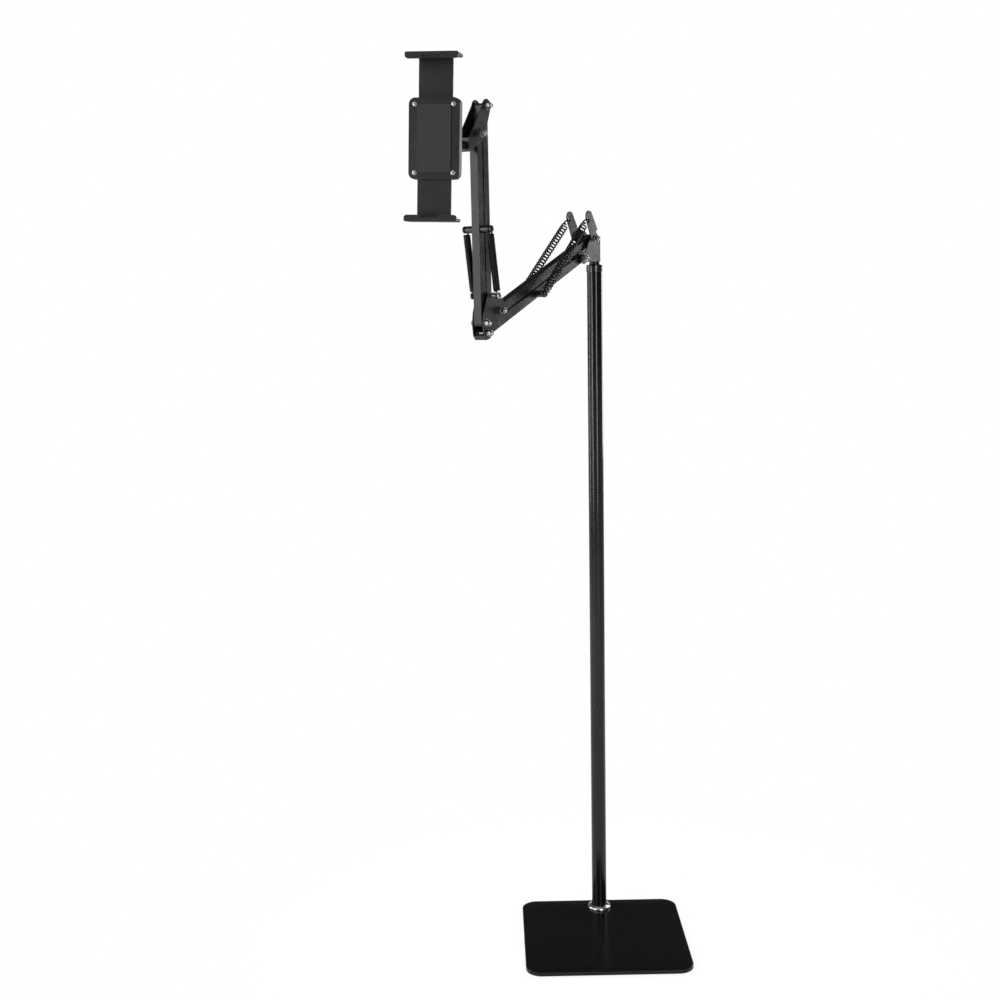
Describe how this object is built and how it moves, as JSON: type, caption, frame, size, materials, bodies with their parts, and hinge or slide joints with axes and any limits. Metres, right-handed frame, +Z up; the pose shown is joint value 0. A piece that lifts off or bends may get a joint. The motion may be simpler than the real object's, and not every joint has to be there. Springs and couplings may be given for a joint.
{
  "type": "adjustable tablet floor stand",
  "caption": "Floor stand with a heavy square base, a slim pole and a spring-balanced folding double arm that carries a swivelling clamp holder for a tablet.",
  "frame": {"origin": "centre of the underside of the base, on the floor", "axes": "+Z up along the pole, +Y towards the plate's rear edge where the pole stands, +X to the right as the picture's viewer sees it; the viewer stands on the -Y side"},
  "size_m": [0.393, 0.4208, 1.2972],
  "materials": {
    "black_powder_coat": "satin",
    "bright_zinc": "bright zinc plating",
    "polished_chrome": "polished",
    "black_nylon": "fine matt grain",
    "black_rubber": "matt",
    "black_spring_steel": "satin"
  },
  "bodies": {
    "stand": {"base_plate": "black_powder_coat", "rubber_feet": "black_rubber", "base_bolt": "bright_zinc", "base_washer": "bright_zinc", "pole_collar": "polished_chrome", "foot_insert": "bright_zinc", "pole_lower": "black_powder_coat", "pole_middle": "black_powder_coat", "pole_upper": "black_powder_coat", "pole_joiners": "bright_zinc", "pole_cap": "black_nylon", "swivel_washer": "black_nylon"},
    "head": {"swivel_post": "black_powder_coat", "post_nut": "bright_zinc", "head_bracket": "black_powder_coat", "head_bolts": "bright_zinc", "head_nuts": "bright_zinc", "head_washers": "bright_zinc", "head_spacers": "black_nylon"},
    "lower_arm_top": {"lower_top_bar": "black_powder_coat"},
    "lower_arm_bottom": {"lower_bottom_bar": "black_powder_coat", "lower_spring_pin": "bright_zinc", "lower_spring_spools": "black_nylon", "lower_spring_near": "black_spring_steel", "lower_spring_far": "black_spring_steel"},
    "elbow": {"elbow_bracket": "black_powder_coat", "elbow_bolts": "bright_zinc", "elbow_nuts": "bright_zinc", "elbow_washers": "bright_zinc", "elbow_spacers": "black_nylon", "elbow_spring_bolt": "bright_zinc"},
    "upper_arm_front": {"upper_front_bar": "black_powder_coat", "upper_spring_pin": "bright_zinc", "upper_spring_spools": "black_nylon", "upper_spring_near": "black_spring_steel", "upper_spring_far": "black_spring_steel"},
    "upper_arm_rear": {"upper_rear_bar": "black_powder_coat"},
    "tip": {"top_bracket": "black_powder_coat", "top_bolts": "bright_zinc", "top_nuts": "bright_zinc", "top_washers": "bright_zinc", "top_spacers": "black_nylon", "holder_stem": "black_powder_coat", "stem_nut": "bright_zinc"},
    "pan_joint": {"pan_knuckle": "black_nylon", "pan_bolt": "bright_zinc"},
    "tilt_joint": {"swivel_plate": "black_nylon", "roll_screw": "bright_zinc", "tilt_bolt": "bright_zinc"},
    "clamp_knob": {"tilt_knob": "black_nylon"},
    "holder": {"holder_housing": "black_nylon", "backrest": "black_nylon", "backrest_pad": "black_rubber", "housing_screws": "bright_zinc"},
    "clamp_upper": {"upper_jaw": "black_nylon", "upper_jaw_pad": "black_rubber"},
    "clamp_lower": {"lower_jaw": "black_nylon", "lower_jaw_pad": "black_rubber"}
  },
  "joints": [
    {"name": "head_swivel", "type": "hinge", "parent": "stand", "child": "head", "pos_m": [0, 0.0995, 1.045], "axis": [0, 0, 1], "continuous": true},
    {"name": "shoulder", "type": "hinge", "parent": "head", "child": "lower_arm_top", "pos_m": [-0.00783, 0.08789, 1.08], "axis": [0.829, -0.5592, 0], "range_deg": [-76, 4]},
    {"name": "lower_link", "type": "hinge", "parent": "head", "child": "lower_arm_bottom", "pos_m": [-0.02656, 0.06012, 1.05], "axis": [0.829, -0.5592, 0], "range_deg": [-76, 4], "deforming": ["lower_spring_near", "lower_spring_far"]},
    {"name": "elbow_level", "type": "hinge", "parent": "lower_arm_top", "child": "elbow", "pos_m": [-0.15331, -0.12779, 0.97647], "axis": [0.829, -0.5592, 0], "range_deg": [-4, 76]},
    {"name": "elbow_bend", "type": "hinge", "parent": "elbow", "child": "upper_arm_front", "pos_m": [-0.17456, -0.15929, 0.95997], "axis": [0.829, -0.5592, 0], "range_deg": [-2, 125], "deforming": ["upper_spring_near", "upper_spring_far"]},
    {"name": "upper_link", "type": "hinge", "parent": "elbow", "child": "upper_arm_rear", "pos_m": [-0.16673, -0.14768, 0.99647], "axis": [0.829, -0.5592, 0], "range_deg": [-2, 125]},
    {"name": "tip_level", "type": "hinge", "parent": "upper_arm_front", "child": "tip", "pos_m": [-0.17602, -0.16146, 1.20996], "axis": [0.829, -0.5592, 0], "range_deg": [-125, 2]},
    {"name": "holder_pan", "type": "hinge", "parent": "tip", "child": "pan_joint", "pos_m": [-0.2169, -0.22206, 1.19311], "axis": [0, 0, 1], "range_deg": [-65, 25]},
    {"name": "holder_tilt", "type": "hinge", "parent": "pan_joint", "child": "tilt_joint", "pos_m": [-0.2216, -0.24345, 1.19311], "axis": [0.9767, -0.2147, 0], "range_deg": [-35, 35]},
    {"name": "knob_turn", "type": "hinge", "parent": "tilt_joint", "child": "clamp_knob", "pos_m": [-0.21349, -0.24523, 1.19311], "axis": [0.9767, -0.2147, 0], "continuous": true},
    {"name": "holder_turn", "type": "hinge", "parent": "tilt_joint", "child": "holder", "pos_m": [-0.22478, -0.25791, 1.19311], "axis": [-0.2147, -0.9767, 0], "continuous": true},
    {"name": "upper_jaw_slide", "type": "slide", "parent": "holder", "child": "clamp_upper", "axis": [0.0341, -0.0075, 0.9994], "range_m": [-0.046, 0.014]},
    {"name": "lower_jaw_slide", "type": "slide", "parent": "holder", "child": "clamp_lower", "axis": [-0.0341, 0.0075, -0.9994], "range_m": [-0.046, 0.014]}
  ],
  "couplings": [
    {"joint": "lower_link", "follows": "shoulder", "ratio": 1},
    {"joint": "elbow_level", "follows": "shoulder", "ratio": -1},
    {"joint": "upper_link", "follows": "elbow_bend", "ratio": 1},
    {"joint": "tip_level", "follows": "elbow_bend", "ratio": -1}
  ]
}
